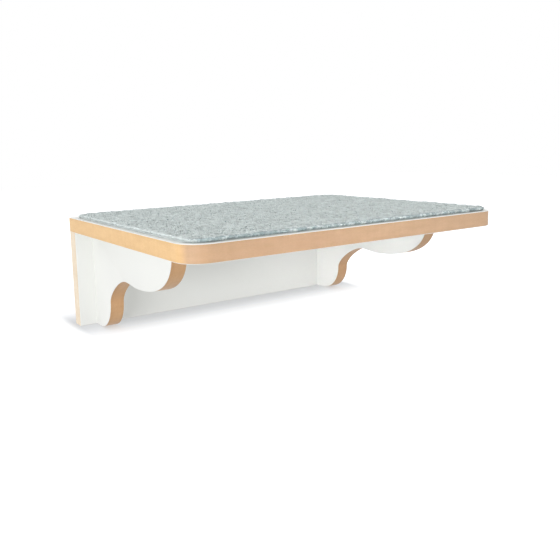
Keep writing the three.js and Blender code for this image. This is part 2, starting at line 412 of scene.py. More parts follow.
def seat_and_pocket(node):
    """The rings of a hanger's shallow seat, and of the pocket for the wall screw's head."""
    low, high, place, radius, end = hanger_measures(node)
    seat = slot_outline(radius + CLEARANCE, -end, end)
    pocket = slot_outline(pocket_radius, -keyhole_drop, slot_rise)
    return (loft(seat, [(0, low.y), (0, CUTTER_OVERRUN)], UPRIGHT, place),
            loft(pocket, [(0, low.y - pocket_depth), (0, high.y)], UPRIGHT, place))


plate_low, plate_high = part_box("plate_core")
plate_outline = rectangle(plate_low.x, plate_low.z, plate_high.x, plate_high.z)
plate_edge = fibreboard_edge("lacquered_plate_edge", "plate_core", UPRIGHT, ("#fcefdb", "#e4ccaa"))
plate_drill = screw_drill("plate_drill", panel_screw, plate_screw_nodes, UPRIGHT)
dowel_drill = skinned("dowel_drill", *(dowel_hole(n) for n in dowel_nodes))
hanger_drill = screw_drill("hanger_drill", hanger_screw, hanger_screw_nodes, UPRIGHT)
seat_rings, pocket_rings = zip(*(seat_and_pocket(n) for n in hanger_nodes))
seat_router = skinned("seat_router", *seat_rings)
pocket_router = skinned("pocket_router", *pocket_rings)

behind = [plate_drill, seat_router, pocket_router]
core("plate_fibreboard", "plate_core", plate_outline, UPRIGHT, plate_edge,
     [*behind, dowel_drill, hanger_drill])
face("plate_rear_skin", "plate_rear_face", plate_outline, UPRIGHT, 1, behind)
face("plate_front_skin", "plate_front_face", plate_outline, UPRIGHT, -1, [plate_drill])
thrown_away(seat_router, pocket_router, hanger_drill)

# Brackets: two upright panels under the board, each with a round foot, a leg close to the plate, an
# arch, a lobe and a nose. They are cut from the same sheet as the plate on a router, which leaves
# faint marks square to the faces. Screws hold them, from above and from behind.
bracket_reach = 0.2215
leg_depth = 0.0505
foot_radius = 0.036
leg_rise = 0.012
arch_depth = 0.102
arch_drop = 0.0485
arch_run = 0.020
arch_lead = 0.010
lobe_depth = 0.1335
lobe_drop = 0.051
lobe_lead = 0.012
lobe_run = 0.0495
nose_drop = 0.0365
FOOT_STEPS = 32
CURVE_STEPS = 40


def bracket_outline(front, under, foot):
    """The bracket from the side: Y is measured from the plate's front, Z from the board's underside."""
    ankle = foot + foot_radius - under

    def curve(*points):
        knots = [Vector((front + y, under + z)) for y, z in points]
        return interpolate_bezier(*knots, CURVE_STEPS)[1:]

    outline = [Vector((front, under)), Vector((front, foot))]
    outline += arc((front + foot_radius - leg_depth, foot + foot_radius), foot_radius, 270, 180, FOOT_STEPS)
    outline += curve((-leg_depth, ankle), (-leg_depth, ankle + leg_rise),
                     (arch_run - arch_depth, -arch_drop), (-arch_depth, -arch_drop))
    outline += curve((-arch_depth, -arch_drop), (-arch_depth - arch_lead, -arch_drop),
                     (lobe_lead - lobe_depth, -lobe_drop), (-lobe_depth, -lobe_drop))
    outline += curve((-lobe_depth, -lobe_drop), (-lobe_depth - lobe_run, -lobe_drop),
                     (-bracket_reach, -nose_drop), (-bracket_reach, 0))
    return outline[::-1]


board_screw_nodes = numbered("board_screw", 4)
board_drill = screw_drill("board_drill", panel_screw, board_screw_nodes, LYING)
plate_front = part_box("plate_front_face")[0].y
board_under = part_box("board_bottom_face")[0].z
side_view = bracket_outline(plate_front, board_under, plate_low.z)
# The right bracket's edge is painted a shade darker than the left one's, as painted shade
for side, outer, edge_name, lacquer in (
    ("left", -1, "lacquered_bracket_edge", ("#ddb285", "#c39568")),
    ("right", 1, "lacquered_right_bracket_edge", ("#c69f78", "#ad845d")),
):
    node = f"{side}_bracket"
    edge = fibreboard_edge(edge_name, f"{node}_core", SIDEWAYS, lacquer)
    core(f"{node}_fibreboard", f"{node}_core", side_view, SIDEWAYS, edge, [board_drill, plate_drill])
    face(f"{node}_outer_skin", f"{node}_outer_face", side_view, SIDEWAYS, outer, [])
    face(f"{node}_inner_skin", f"{node}_inner_face", side_view, SIDEWAYS, -outer, [])
thrown_away(plate_drill)

# Board: the lying panel that carries the mat, with its two front corners rounded. The same sheet,
# routed, with its edge sanded and lacquered all round. It is screwed down on the brackets under the
# mat and doweled on the plate's top edge.
board_corner = 0.025
CORNER_STEPS = 28
board_low, board_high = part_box("board_core")
corner_x = board_high.x - board_corner
corner_y = board_low.y + board_corner
board_outline = [Vector((board_high.x, board_high.y)), Vector((board_low.x, board_high.y))]
board_outline += arc((-corner_x, corner_y), board_corner, 180, 270, CORNER_STEPS)
board_outline += arc((corner_x, corner_y), board_corner, 270, 360, CORNER_STEPS)
# Its ends, which face along X, are painted paler and yellower than its front, as painted light
board_edge = fibreboard_edge("lacquered_board_edge", "board_core", LYING, ("#d9b38e", "#c19a75"),
                             ("#f6cf98", "#deb37b"))
core("board_fibreboard", "board_core", board_outline, LYING, board_edge, [board_drill, dowel_drill])
face("board_top_skin", "board_top_face", board_outline, LYING, 1, [board_drill])
face("board_bottom_skin", "board_bottom_face", board_outline, LYING, -1, [board_drill, dowel_drill])
thrown_away(board_drill, dowel_drill)

# Dowels: three fluted beech pegs, glued half in the plate's top edge and half in the board. Turned,
# with pressed flutes that let the glue out and a chamfer at both ends.
FLUTES = 16
STEPS_PER_FLUTE = 6
flute_depth = 0.00035
dowel_chamfer = 0.001


def geometry_tree(name, inputs):
    """A Geometry Nodes tree: the tree, its inputs and a way to end it. A seed and a material are added
    to the inputs, and an object comes in as its geometry."""
    tree = bpy.data.node_groups.new(name, "GeometryNodeTree")
    tree.interface.new_socket("Geometry", in_out="OUTPUT", socket_type="NodeSocketGeometry")
    tree.interface.new_socket("Carrier", in_out="INPUT", socket_type="NodeSocketGeometry")
    for label, kind in {**inputs, "Seed": "Int", "Material": "Material"}.items():
        tree.interface.new_socket(label, in_out="INPUT", socket_type=f"NodeSocket{kind}")
    given = dict(add_node(tree, "NodeGroupInput", {}).outputs.items())
    for label, kind in inputs.items():
        if kind == "Object":
            holder = add_node(tree, "GeometryNodeObjectInfo", {"Object": given[label]})
            given[label] = holder.outputs["Geometry"]

    def end(instances):
        real = add_node(tree, "GeometryNodeRealizeInstances", {"Geometry": instances})
        dressed = add_node(tree, "GeometryNodeSetMaterial", {
            "Geometry": real, "Material": given["Material"],
        })
        add_node(tree, "NodeGroupOutput", {0: dressed})

    return tree, given, end


def grown(carrier, tree, values):
    """Runs a tree on its carrier, which becomes the plain mesh that the tree makes."""
    modifier = carrier.modifiers.new(tree.name, "NODES")
    modifier.node_group = tree
    for socket in tree.interface.items_tree:
        if socket.name in values:
            modifier[socket.identifier] = values[socket.name]
    return baked(carrier)


def placing_tree():
    """Sets a copy of a piece on each of the carrier's points, leant over and turned at random."""
    tree, given, end = geometry_tree("set_in_place", {
        "Piece": "Object", "Lean": "Vector", "Turn": "Float",
    })
    lean = add_node(tree, "FunctionNodeEulerToRotation", {0: given["Lean"]})
    copies = add_node(tree, "GeometryNodeInstanceOnPoints", {
        "Points": given["Carrier"], "Instance": given["Piece"], "Rotation": lean,
    })
    turn = add_node(tree, "FunctionNodeRandomValue", {2: 0.0, 3: given["Turn"], "Seed": given["Seed"]})
    spin = add_node(tree, "ShaderNodeCombineXYZ", {"Z": turn})
    end(add_node(tree, "GeometryNodeRotateInstances", {
        "Instances": copies, "Rotation": spin, "Local Space": True,
    }))
    return tree


set_in_place = placing_tree()


def drawn(name, points, edges=(), faces=()):
    """An object with a mesh of plain points, edges and faces."""
    mesh = bpy.data.meshes.new(name)
    mesh.from_pydata(points, edges, faces)
    return placed(name, mesh)


def set_out(name, pattern, nodes, order, material, seed):
    """Puts a copy of a fastener at each of its nodes, in one piece, and throws the pattern away."""
    carrier = drawn(name, [head_of(node, order) for node in nodes])
    lean = (0, 0, 0) if order == LYING else (-math.pi / 2, 0, 0)
    values = {"Piece": pattern, "Lean": lean, "Turn": 2 * math.pi, "Seed": seed, "Material": material}
    fitted(grown(carrier, set_in_place, values), material, nodes)
    thrown_away(pattern)


def beech():
    """Steamed beech: a pinkish straw colour with fine grain along the peg and small dark flecks."""
    material, tree, at = surface("beech", {"Roughness": 0.6, "IOR": 1.5})
    along = grain(tree, at, [0.0006, 0.0006, 0.02], 3)
    fleck = grain(tree, at, [0.0004, 0.0004, 0.0025])
    spots = add_node(tree, "ShaderNodeMapRange", {"Value": fleck, "From Min": 0.62, "From Max": 0.72})
    wood = add_node(tree, "ShaderNodeMix", {
        "Factor": along, COLOUR_A: "#e2c193", COLOUR_B: "#c79d6e",
    }, data_type="RGBA")
    colour = add_node(tree, "ShaderNodeMix", {
        "Factor": spots, COLOUR_A: wood, COLOUR_B: "#a87b50",
    }, data_type="RGBA")
    return finished(material, (along, 0.3, 0.0001), colour)


dowel_box_low, dowel_box_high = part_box("dowel_1")
dowel_length = dowel_box_high.z - dowel_box_low.z
thin = dowel_radius - dowel_chamfer
peg = skinned("peg", turned(
    [(thin, -dowel_length), (dowel_radius, dowel_chamfer - dowel_length),
     (dowel_radius, -dowel_chamfer), (thin, 0)],
    sides=FLUTES * STEPS_PER_FLUTE,
    swell=lambda angle, height: -flute_depth * (0.5 + 0.5 * math.cos(FLUTES * angle)) ** 2,
))
set_out("dowels", peg, dowel_nodes, LYING, beech(), 1)

# Panel screws: zinc-plated steel, rolled thread, countersunk head with a cross recess. Four go down
# through the board into the brackets and four go from behind through the plate.
THREAD_STEPS_PER_TURN = 8
THREAD_SIDES = 24
THREAD_WIDTH_SHARE = 0.62
RECESS_TAPER_SHARE = 0.55
RIM_EASE_SHARE = 0.4


def zinc(name, hex_colour):
    """Bright zinc on steel: a cool silver with faint clouds in its gloss from the bath."""
    material, tree, at = surface(name, {"Base Color": hex_colour, "Metallic": 1.0, "Roughness": 0.32})
    cloud = grain(tree, at, [0.004] * 3, 4)
    return finished(material, (cloud, 0.15, 0.0001), gloss=(cloud, 0.22, 0.44))


def screw(name, size):
    """One countersunk screw with a helical thread. Its head's top is at height zero."""
    rise = size.neck - size.root
    end = -size.length
    thread_top = -size.collar
    throat = size.neck - size.head - size.rim
    ease = size.rim * RIM_EASE_SHARE
    step = size.pitch / THREAD_STEPS_PER_TURN
    heights = [end + step * i for i in range(int((thread_top - end) / step) + 1)]

    def tapered(radius, height):
        return radius * min(1.0, (height - end + step) / size.tip)

    def thread(angle, height):
        if height > thread_top:
            return 0.0
        phase = (height / size.pitch - angle / (2 * math.pi)) % 1
        crest = max(0.0, 1 - abs(phase - 0.5) / (THREAD_WIDTH_SHARE / 2))
        return tapered(rise * crest, height)

    profile = [(tapered(size.root, h), h) for h in heights]
    profile += [(size.neck, thread_top + rise), (size.neck, throat), (size.head, -size.rim),
                (size.head, -ease), (size.head - ease, 0)]
    blank = skinned(name, turned(profile, sides=THREAD_SIDES, swell=thread))
    bars = [cross_bar("cross_bar", size, across) for across in (False, True)]
    carved(blank, *bars)
    thrown_away(*bars)
    return blank


def cross_bar(name, size, across):
    """One bar of the driver's cross, narrower at its bottom."""
    rings = []
    depth = size.recess_depth
    for share, level in ((RECESS_TAPER_SHARE, -depth), (2 - RECESS_TAPER_SHARE, depth)):
        long = size.recess_span / 2 * share
        wide = size.recess_width / 2 * share
        if across:
            long, wide = wide, long
        rings.append([(x, y, level) for x, y in rectangle(-long, -wide, long, wide)])
    return skinned(name, rings)


bright_zinc = zinc("bright_zinc", "#c9ccd1")
for name, nodes, order, seed in (
    ("board_screws", board_screw_nodes, LYING, 2),
    ("plate_screws", plate_screw_nodes, UPRIGHT, 3),
):
    set_out(name, screw("screw", panel_screw), nodes, order, bright_zinc, seed)

# Hangers: two stamped steel plates let into the plate's rear face, each with a keyhole for the head
# and shank of a wall screw and two countersunk holes. Zinc-plated, held by a small screw at each end.
keyhole_radius = 0.005
slot_radius = 0.0025
stamping_round = 0.0004


def keyhole_outline():
    """A round head hole with a narrower slot above it, anticlockwise."""
    meet = math.degrees(math.acos(slot_radius / keyhole_radius))
    round_hole = arc((0, -keyhole_drop), keyhole_radius, 180 - meet, 360 + meet, 2 * POCKET_STEPS)
    return round_hole + arc((0, slot_rise), slot_radius, 0, 180, POCKET_STEPS)


hanger_zinc = zinc("passivated_zinc", "#c4c6c6")
for i, node in enumerate(hanger_nodes):
    low, high, place, radius, end = hanger_measures(node)
    steps = [
        (stamping_round, low.y), (0, low.y + stamping_round),
        (0, high.y - stamping_round), (stamping_round, high.y),
    ]
    blank = skinned(f"keyhole_hanger_{i + 1}", loft(slot_outline(radius, -end, end), steps, UPRIGHT, place))
    punch = skinned("punch", loft(
        keyhole_outline(), [(0, low.y - CUTTER_OVERRUN), (0, high.y + CUTTER_OVERRUN)], UPRIGHT, place,
    ))
    drill = screw_drill("drill", hanger_screw, hanger_screw_nodes[2 * i:2 * i + 2], UPRIGHT)
    fitted(carved(blank, punch, drill), hanger_zinc, [node])
    thrown_away(punch, drill)
set_out("hanger_screws", screw("screw", hanger_screw), hanger_screw_nodes, UPRIGHT, bright_zinc,
        4)

# Hook strips: four lengths of nylon hook tape stuck on the board, which hold the mat. A woven base
# with rows of moulded hooks that all bend the same way.
hook_pitch = 0.0018
hook_height = 0.00085
hook_wire = 0.00022
hook_bend = hook_height * 0.3
hook_turn = math.pi * 0.85
hook_sway = 0.2
tape_base = 0.0003
tape_edge_round = tape_base * 0.4
hook_strip_nodes = numbered("hook_strip", 4)
HOOK_BENDS = 5
HOOK_SEED = 10


def hook_shape():
    """One hook: a wire of four sides that stands up from height zero and bends over at its end."""
    rings = []
    for i in range(HOOK_BENDS + 2):
        turn = hook_turn * max(i - 1, 0) / HOOK_BENDS
        heading = Vector((math.sin(turn), 0, math.cos(turn)))
        centre = Vector((hook_bend - hook_bend * math.cos(turn), 0,
                         hook_height - hook_bend + hook_bend * math.sin(turn)))
        if i == 0:
            centre.z = 0
        aside = Vector((heading.z, 0, -heading.x)) * hook_wire / 2
        wide = Vector((0, hook_wire / 2, 0))
        rings.append([
            centre + aside + wide, centre - aside + wide, centre - aside - wide, centre + aside - wide,
        ])
    return skinned("hook", rings)


def tape_tree():
    """Rows of hooks standing on the carrier, a flat strip of tape, which stays under them."""
    tree, given, end = geometry_tree("hook_rows", {
        "Hook": "Object", "Length": "Float", "Width": "Float", "Across": "Int", "Along": "Int",
        "Middle": "Vector",
    })
    rows = add_node(tree, "GeometryNodeMeshGrid", {
        "Size X": given["Length"], "Size Y": given["Width"],
        "Vertices X": given["Along"], "Vertices Y": given["Across"],
    })
    moved = add_node(tree, "GeometryNodeTransform", {"Geometry": rows, "Translation": given["Middle"]})
    sway = add_node(tree, "FunctionNodeRandomValue", {2: -hook_sway, 3: hook_sway, "Seed": given["Seed"]})
    spin = add_node(tree, "ShaderNodeCombineXYZ", {"Z": sway})
    hooks = add_node(tree, "GeometryNodeInstanceOnPoints", {
        "Points": moved, "Instance": given["Hook"], "Rotation": spin,
    })
    joined = add_node(tree, "GeometryNodeJoinGeometry", {0: given["Carrier"]})
    linked(tree, joined, {0: hooks})
    end(joined)
    return tree


def nylon_tape():
    """Woven and moulded nylon: an off-white, slightly clear plastic with a fine weave in its base."""
    material, tree, at = surface("nylon_hook_tape", {
        "Roughness": 0.42, "IOR": 1.53, "Subsurface Weight": 0.1, "Subsurface Scale": 0.0005,
    })
    weave = grain(tree, at, [0.0012, 0.0003, 0.001], 1)
    colour = add_node(tree, "ShaderNodeMix", {
        "Factor": weave, COLOUR_A: "#efefe9", COLOUR_B: "#dcdcd4",
    }, data_type="RGBA")
    return finished(material, (weave, 0.4, 0.0001), colour)


hook = hook_shape()
hook_rows = tape_tree()
tape = nylon_tape()
for i, node in enumerate(hook_strip_nodes, 1):
    low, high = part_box(node)
    outline = rectangle(low.x, low.y, high.x, high.y)
    steps = [(0, low.z), (0, low.z + tape_base - tape_edge_round), (tape_edge_round, low.z + tape_base)]
    strip = skinned(f"hook_tape_{i}", loft(outline, steps, LYING))
    length = high.x - low.x - 2 * hook_pitch
    width = high.y - low.y - hook_pitch
    fitted(grown(strip, hook_rows, {
        "Hook": hook, "Length": length, "Width": width, "Seed": HOOK_SEED + i, "Material": tape,
        "Along": round(length / hook_pitch) + 1, "Across": round(width / hook_pitch) + 1,
        "Middle": ((low.x + high.x) / 2, (low.y + high.y) / 2, low.z + tape_base),
    }), tape, [node])
thrown_away(hook)

# Mat backing: needled felt, die-cut with round corners, that lies on the board. Its underside has
# pressed seats where it catches on the hook strips.
mat_corner = 0.018
felt_ease = 0.0004
EDGE_STEPS = 16
mat_low, mat_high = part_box("mat_backing")


def rounded_outline(low, high, radius, steps):
    """A lying rectangle with round corners, anticlockwise."""
    outline = []
    for x, y, start in (
        (high.x - radius, high.y - radius, 0), (low.x + radius, high.y - radius, 90),
        (low.x + radius, low.y + radius, 180), (high.x - radius, low.y + radius, 270),
    ):
        outline += arc((x, y), radius, start, start + 90, steps)
    return outline


def felt():
    """Needled polyester felt: matted grey fibres with small pits from the needles."""
    material, tree, at = surface("needled_felt", {
        "Roughness": 0.95, "Sheen Weight": 0.3, "Sheen Roughness": 0.6,
    })
    fibres = grain(tree, at, [0.0009] * 3, 5)
    mats = grain(tree, at, [0.008] * 3, 3)
    pits = add_node(tree, "ShaderNodeTexVoronoi", {"Vector": at, "Scale": 1 / 0.002})
    both = add_node(tree, "ShaderNodeMath", {0: fibres, 1: mats}, operation="ADD")
    mixed = add_node(tree, "ShaderNodeMapRange", {"Value": both, "From Min": 0.7, "From Max": 1.3})
    colour = add_node(tree, "ShaderNodeMix", {
        "Factor": mixed, COLOUR_A: "#ccd5d5", COLOUR_B: "#e6ecec",
    }, data_type="RGBA")
    height = add_node(tree, "ShaderNodeMath", {0: fibres, 1: pits.outputs["Distance"]}, operation="ADD")
    return finished(material, (height, 0.7, 0.0003), colour)


mat_outline = rounded_outline(mat_low, mat_high, mat_corner, EDGE_STEPS)
backing = skinned("mat_felt", loft(mat_outline, [
    (felt_ease, mat_low.z), (0, mat_low.z + felt_ease), (0, mat_high.z - felt_ease), (felt_ease, mat_high.z),
], LYING))
seats = []
grow = Vector((CLEARANCE, CLEARANCE, 0))
for node in hook_strip_nodes:
    low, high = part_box(node)
    outline = rounded_outline(low - grow, high + grow, CLEARANCE, 2)
    seats.append(loft(outline, [(0, low.z), (0, high.z + CLEARANCE)], LYING))
press = skinned("seat_press", *seats)
carved(backing, press)
thrown_away(press)
fitted(backing, felt(), ["mat_backing"], "mat")

# Mat pile: a short cut pile in pale grey-blue, tufted close together in the felt. Every tuft is a
# twist of yarn that opens above its foot and leans its own way, and along the rim they lean outwards.
# Its meshes are three strips of the mat, from left to right, which meet without a seam.
tuft_height = 0.0029
tuft_sunk = 0.0003
# A tuft's rings, each by its share of the height, its radius and its twist in degrees
tuft_rings = ((0, 0.0006, 0), (0.8, 0.00125, 30), (1, 0.0011, 60))
# The rows of tufts along the rim, each by how far it is set in from the felt's edge and how far it sinks
rim_rows = ((0.0022, 0), (0.0010, 0), (0.0, 0.0003), (-0.0004, 0.0010))
# How the pile is sown, by the inputs of its tree: lengths in metres, tufts per square metre, and leans
# as shares of upright
sowing = {
    "Spacing": 0.0016, "Density": 900000.0, "Rim Spacing": 0.0012, "Rim Spread": 0.7, "Jitter": 0.1,
    "Sweep": 0.5, "Sweep Length": 0.02, "Lump Length": 0.008, "Dab Length": 0.005,
}
least_rim_spread = 0.2
tuft_sizes = (0.94, 1.06)
lump_heights = (0.72, 1.08)
# The palest tone of the rim's tufts in a dab of painted shade and between the dabs, and the painted light
# that the left side adds
painted_rim_shade_tones = (0.01, 0.055)
painted_left_rim_light = 0.16
TUFT_SIDES = 3
MAT_STRIPS = 3
PILE_SEED = 7


def tuft_shape():
    """One tuft of a few sides, wider at its blunt tip. Its tip attribute goes from 0, its foot, to 1."""
    rings = []
    for height_share, radius, twist in tuft_rings:
        ring = []
        for i in range(TUFT_SIDES):
            angle = math.radians(360 * i / TUFT_SIDES + twist)
            ring.append((radius * math.cos(angle), radius * math.sin(angle), tuft_height * height_share))
        rings.append(ring)
    tuft = skinned("tuft", rings)
    tip = tuft.data.attributes.new("tip", "FLOAT", "POINT")
    for i, vertex in enumerate(tuft.data.vertices):
        tip.data[i].value = vertex.co.z / tuft_height
    return tuft


def pile_tree():
    """Tufts spread over the carrier and along the lines of the rim, between two places in X."""
    tree, given, end = geometry_tree("tufted_pile", {
        "Tuft": "Object", "Rim": "Object", **dict.fromkeys([*sowing, "From X", "To X"], "Float"),
    })
    seed = given["Seed"]
    place = add_node(tree, "GeometryNodeInputPosition", {})
    x = add_node(tree, "ShaderNodeSeparateXYZ", {0: place}).outputs["X"]
    before = add_node(tree, "FunctionNodeCompare", {0: x, 1: given["From X"]}, operation="LESS_THAN")
    after = add_node(tree, "FunctionNodeCompare", {0: x, 1: given["To X"]}, operation="GREATER_EQUAL")
    outside = add_node(tree, "FunctionNodeBooleanMath", {0: before, 1: after}, operation="OR")

    def drift(length):
        """Noise over the mat, with lumps as long as the input of this name says."""
        frequency = add_node(tree, "ShaderNodeMath", {0: 1.0, 1: given[length]}, operation="DIVIDE")
        return add_node(tree, "ShaderNodeTexNoise", {
            "Vector": place, "Scale": frequency, "Detail": 1.0,
        }).outputs

    # The lie of the pile changes slowly over the mat, and each tuft strays from it by itself
    centred = add_node(tree, "ShaderNodeVectorMath", {0: drift("Sweep Length")["Color"], 1: (0.5, 0.5, 0.5)},
                       operation="SUBTRACT")
    swept = add_node(tree, "ShaderNodeVectorMath", {0: centred, "Scale": given["Sweep"]}, operation="SCALE")
    stray = add_node(tree, "FunctionNodeRandomValue", {0: (-1, -1, 0), 1: (1, 1, 0), "Seed": seed},
                     data_type="FLOAT_VECTOR")
    strayed = add_node(tree, "ShaderNodeVectorMath", {0: stray, "Scale": given["Jitter"]}, operation="SCALE")
    upward = add_node(tree, "ShaderNodeVectorMath", {0: swept, 1: (0, 0, 1)}, operation="ADD")
    field_way = add_node(tree, "ShaderNodeVectorMath", {0: upward, 1: strayed}, operation="ADD")
    turn = add_node(tree, "FunctionNodeRandomValue", {2: 0.0, 3: 2 * math.pi, "Seed": seed})
    spin = add_node(tree, "ShaderNodeCombineXYZ", {"Z": turn})
    size = add_node(tree, "FunctionNodeRandomValue", {2: tuft_sizes[0], 3: tuft_sizes[1], "Seed": seed})
    lump = add_node(tree, "ShaderNodeMapRange", {
        "Value": drift("Lump Length")["Fac"], "From Min": 0.3, "From Max": 0.7,
        "To Min": lump_heights[0], "To Max": lump_heights[1],
    })
    stature = add_node(tree, "ShaderNodeMath", {0: size, 1: lump}, operation="MULTIPLY")
    scale = add_node(tree, "ShaderNodeCombineXYZ", {"X": size, "Y": size, "Z": stature})

    def sown(points, way, palest):
        """A tuft on each point, along its own way, with its tone from 0, darkest, to the palest."""
        near = add_node(tree, "GeometryNodeDeleteGeometry", {
            "Geometry": points, "Selection": outside,
        }, domain="POINT")
        leant = add_node(tree, "FunctionNodeAlignRotationToVector", {"Vector": way}, axis="Z")
        standing = add_node(tree, "GeometryNodeInstanceOnPoints", {
            "Points": near, "Instance": given["Tuft"], "Rotation": leant, "Scale": scale,
        })
        spun = add_node(tree, "GeometryNodeRotateInstances", {
            "Instances": standing, "Rotation": spin, "Local Space": True,
        })
        chance = add_node(tree, "FunctionNodeRandomValue", {2: 0.0, 3: palest, "Seed": seed})
        tone = add_node(tree, "ShaderNodeMath", {0: chance, 1: lump}, operation="MULTIPLY")
        return add_node(tree, "GeometryNodeStoreNamedAttribute", {
            "Geometry": spun, "Name": "tone", "Value": tone,
        }, data_type="FLOAT", domain="INSTANCE")

    field = add_node(tree, "GeometryNodeDistributePointsOnFaces", {
        "Mesh": given["Carrier"], "Distance Min": given["Spacing"], "Density Max": given["Density"],
        "Seed": seed,
    }, distribute_method="POISSON")
    rim_lines = add_node(tree, "GeometryNodeMeshToCurve", {"Mesh": given["Rim"]})
    rim_points = add_node(tree, "GeometryNodeCurveToPoints", {
        "Curve": rim_lines, "Length": given["Rim Spacing"],
    }, mode="LENGTH")
    outward = add_node(tree, "ShaderNodeVectorMath", {0: rim_points.outputs["Tangent"], 1: (0, 0, 1)},
                       operation="CROSS_PRODUCT")
    reach = add_node(tree, "FunctionNodeRandomValue", {
        2: least_rim_spread, 3: given["Rim Spread"], "Seed": seed,
    })
    spread = add_node(tree, "ShaderNodeVectorMath", {0: outward, "Scale": reach}, operation="SCALE")
    rim_way = add_node(tree, "ShaderNodeVectorMath", {0: field_way, 1: spread}, operation="ADD")
    # The rim's tufts are painted dark in short dabs, as painted shade, and paler along the left side, as
    # painted light
    painted_rim_shade = add_node(tree, "ShaderNodeMapRange", {
        "Value": drift("Dab Length")["Fac"], "From Min": 0.4, "From Max": 0.62,
        "To Min": painted_rim_shade_tones[0], "To Max": painted_rim_shade_tones[1],
    })
    facing = add_node(tree, "ShaderNodeSeparateXYZ", {0: outward}).outputs["X"]
    painted_left_light_tone = add_node(tree, "ShaderNodeMapRange", {
        "Value": facing, "From Min": -1.0, "From Max": -0.7, "To Min": painted_left_rim_light, "To Max": 0.0,
    })
    rim_palest = add_node(tree, "ShaderNodeMath", {0: painted_rim_shade, 1: painted_left_light_tone}, operation="ADD")
    both = add_node(tree, "GeometryNodeJoinGeometry", {0: sown(field.outputs["Points"], field_way, 1.0)})
    linked(tree, both, {0: sown(rim_points.outputs["Points"], rim_way, rim_palest)})
    end(both)
    return tree


def carpet():
    """Heat-set polypropylene yarn, cut: matt and slightly fibrous, mostly pale grey-blue with lighter
    and darker tufts among them, and painted darker towards the roots as painted shade, where little
    light gets in. The darkest tones also carry the rim's painted shade."""
    material, tree, at = surface("cut_pile_yarn", {
        "Roughness": 0.9, "Sheen Weight": 0.4, "Sheen Roughness": 0.5,
    })
    tone = add_node(tree, "ShaderNodeAttribute", {}, attribute_name="tone").outputs["Fac"]
    tip = add_node(tree, "ShaderNodeAttribute", {}, attribute_name="tip").outputs["Fac"]
    patches = grain(tree, at, [0.03] * 3)
    dapples = grain(tree, at, [0.006] * 3, 1)
    fibres = grain(tree, at, [0.0007, 0.0007, 0.002], 3)
    # The lowest tones take the dark colour: a few tufts at random in the field, and the rim's painted shade
    dark = add_node(tree, "ShaderNodeMapRange", {
        "Value": tone, "From Min": 0.0, "From Max": 0.032, "To Min": 1, "To Max": 0,
    })
    light = add_node(tree, "ShaderNodeMapRange", {"Value": tone, "From Min": 0.2, "From Max": 1.0})
    yarn = add_node(tree, "ShaderNodeMix", {
        "Factor": light, COLOUR_A: "#dce6e5", COLOUR_B: "#e5eeec",
    }, data_type="RGBA")
    specked = add_node(tree, "ShaderNodeMix", {
        "Factor": dark, COLOUR_A: yarn, COLOUR_B: "#93a7aa",
    }, data_type="RGBA")
    level = add_node(tree, "ShaderNodeMapRange", {"Value": tip, "To Min": 0.88, "To Max": 1.0})
    for source, share in ((patches, 0.12), (dapples, 0.7), (fibres, 0.1)):
        other = add_node(tree, "ShaderNodeMath", {0: source, 1: share, 2: 1 - share / 2},
                         operation="MULTIPLY_ADD")
        level = add_node(tree, "ShaderNodeMath", {0: level, 1: other}, operation="MULTIPLY")
    shaded = add_node(tree, "ShaderNodeMix", {
        "Factor": level, COLOUR_A: "#000000", COLOUR_B: specked,
    }, data_type="RGBA", clamp_factor=False)
    return finished(material, (fibres, 0.5, 0.0002), shaded)


pile_root = mat_high.z - tuft_sunk
field_line = [(x, y, pile_root) for x, y in inset(mat_outline, rim_rows[0][0])]
count = len(mat_outline)
rim_places = []
rim_edges = []
for row, (distance, drop) in enumerate(rim_rows):
    rim_places += [(x, y, pile_root - drop) for x, y in inset(mat_outline, distance)]
    rim_edges += [(row * count + i, row * count + (i + 1) % count) for i in range(count)]
rim = drawn("rim", rim_places, rim_edges)
tuft = tuft_shape()
yarn = carpet()
tufted_pile = pile_tree()
strip_width = (mat_high.x - mat_low.x) / MAT_STRIPS
for i in range(MAT_STRIPS):
    strip = drawn(f"mat_tufts_{i + 1}", field_line, faces=[range(count)])
    grown(strip, tufted_pile, {
        **sowing, "Tuft": tuft, "Rim": rim, "Material": yarn, "Seed": PILE_SEED,
        "From X": mat_low.x + i * strip_width, "To X": mat_low.x + (i + 1) * strip_width,
    })
    smoothed(strip, math.pi)
    fitted(strip, yarn, ["mat_pile"], "mat")
thrown_away(tuft, rim)

# Floor: a plain pale studio floor just under the plate, which burns out to white by its own glow. Only
# the soft shadow along the plate's foot shows on it. That is painted by the distance from the plate,
# and is five times narrower at the plate's two ends.
floor_half = 3.0
floor_gap = 0.0005
floor_level = cad_low.z - floor_gap
plate_middle = Vector((0, (plate_low.y + plate_high.y) / 2, floor_level))
plate_half = (plate_high - plate_low) / 2
contact_reach = 0.085
contact_narrowing = (5, 1, 1)
# The floor's glow at the plate's foot and past the shadow, and what it gains out of the lamps' reach
foot_glow, open_glow, far_gain = 0.38, 0.86, 0.14
far_start, far_end = 0.3, 0.8


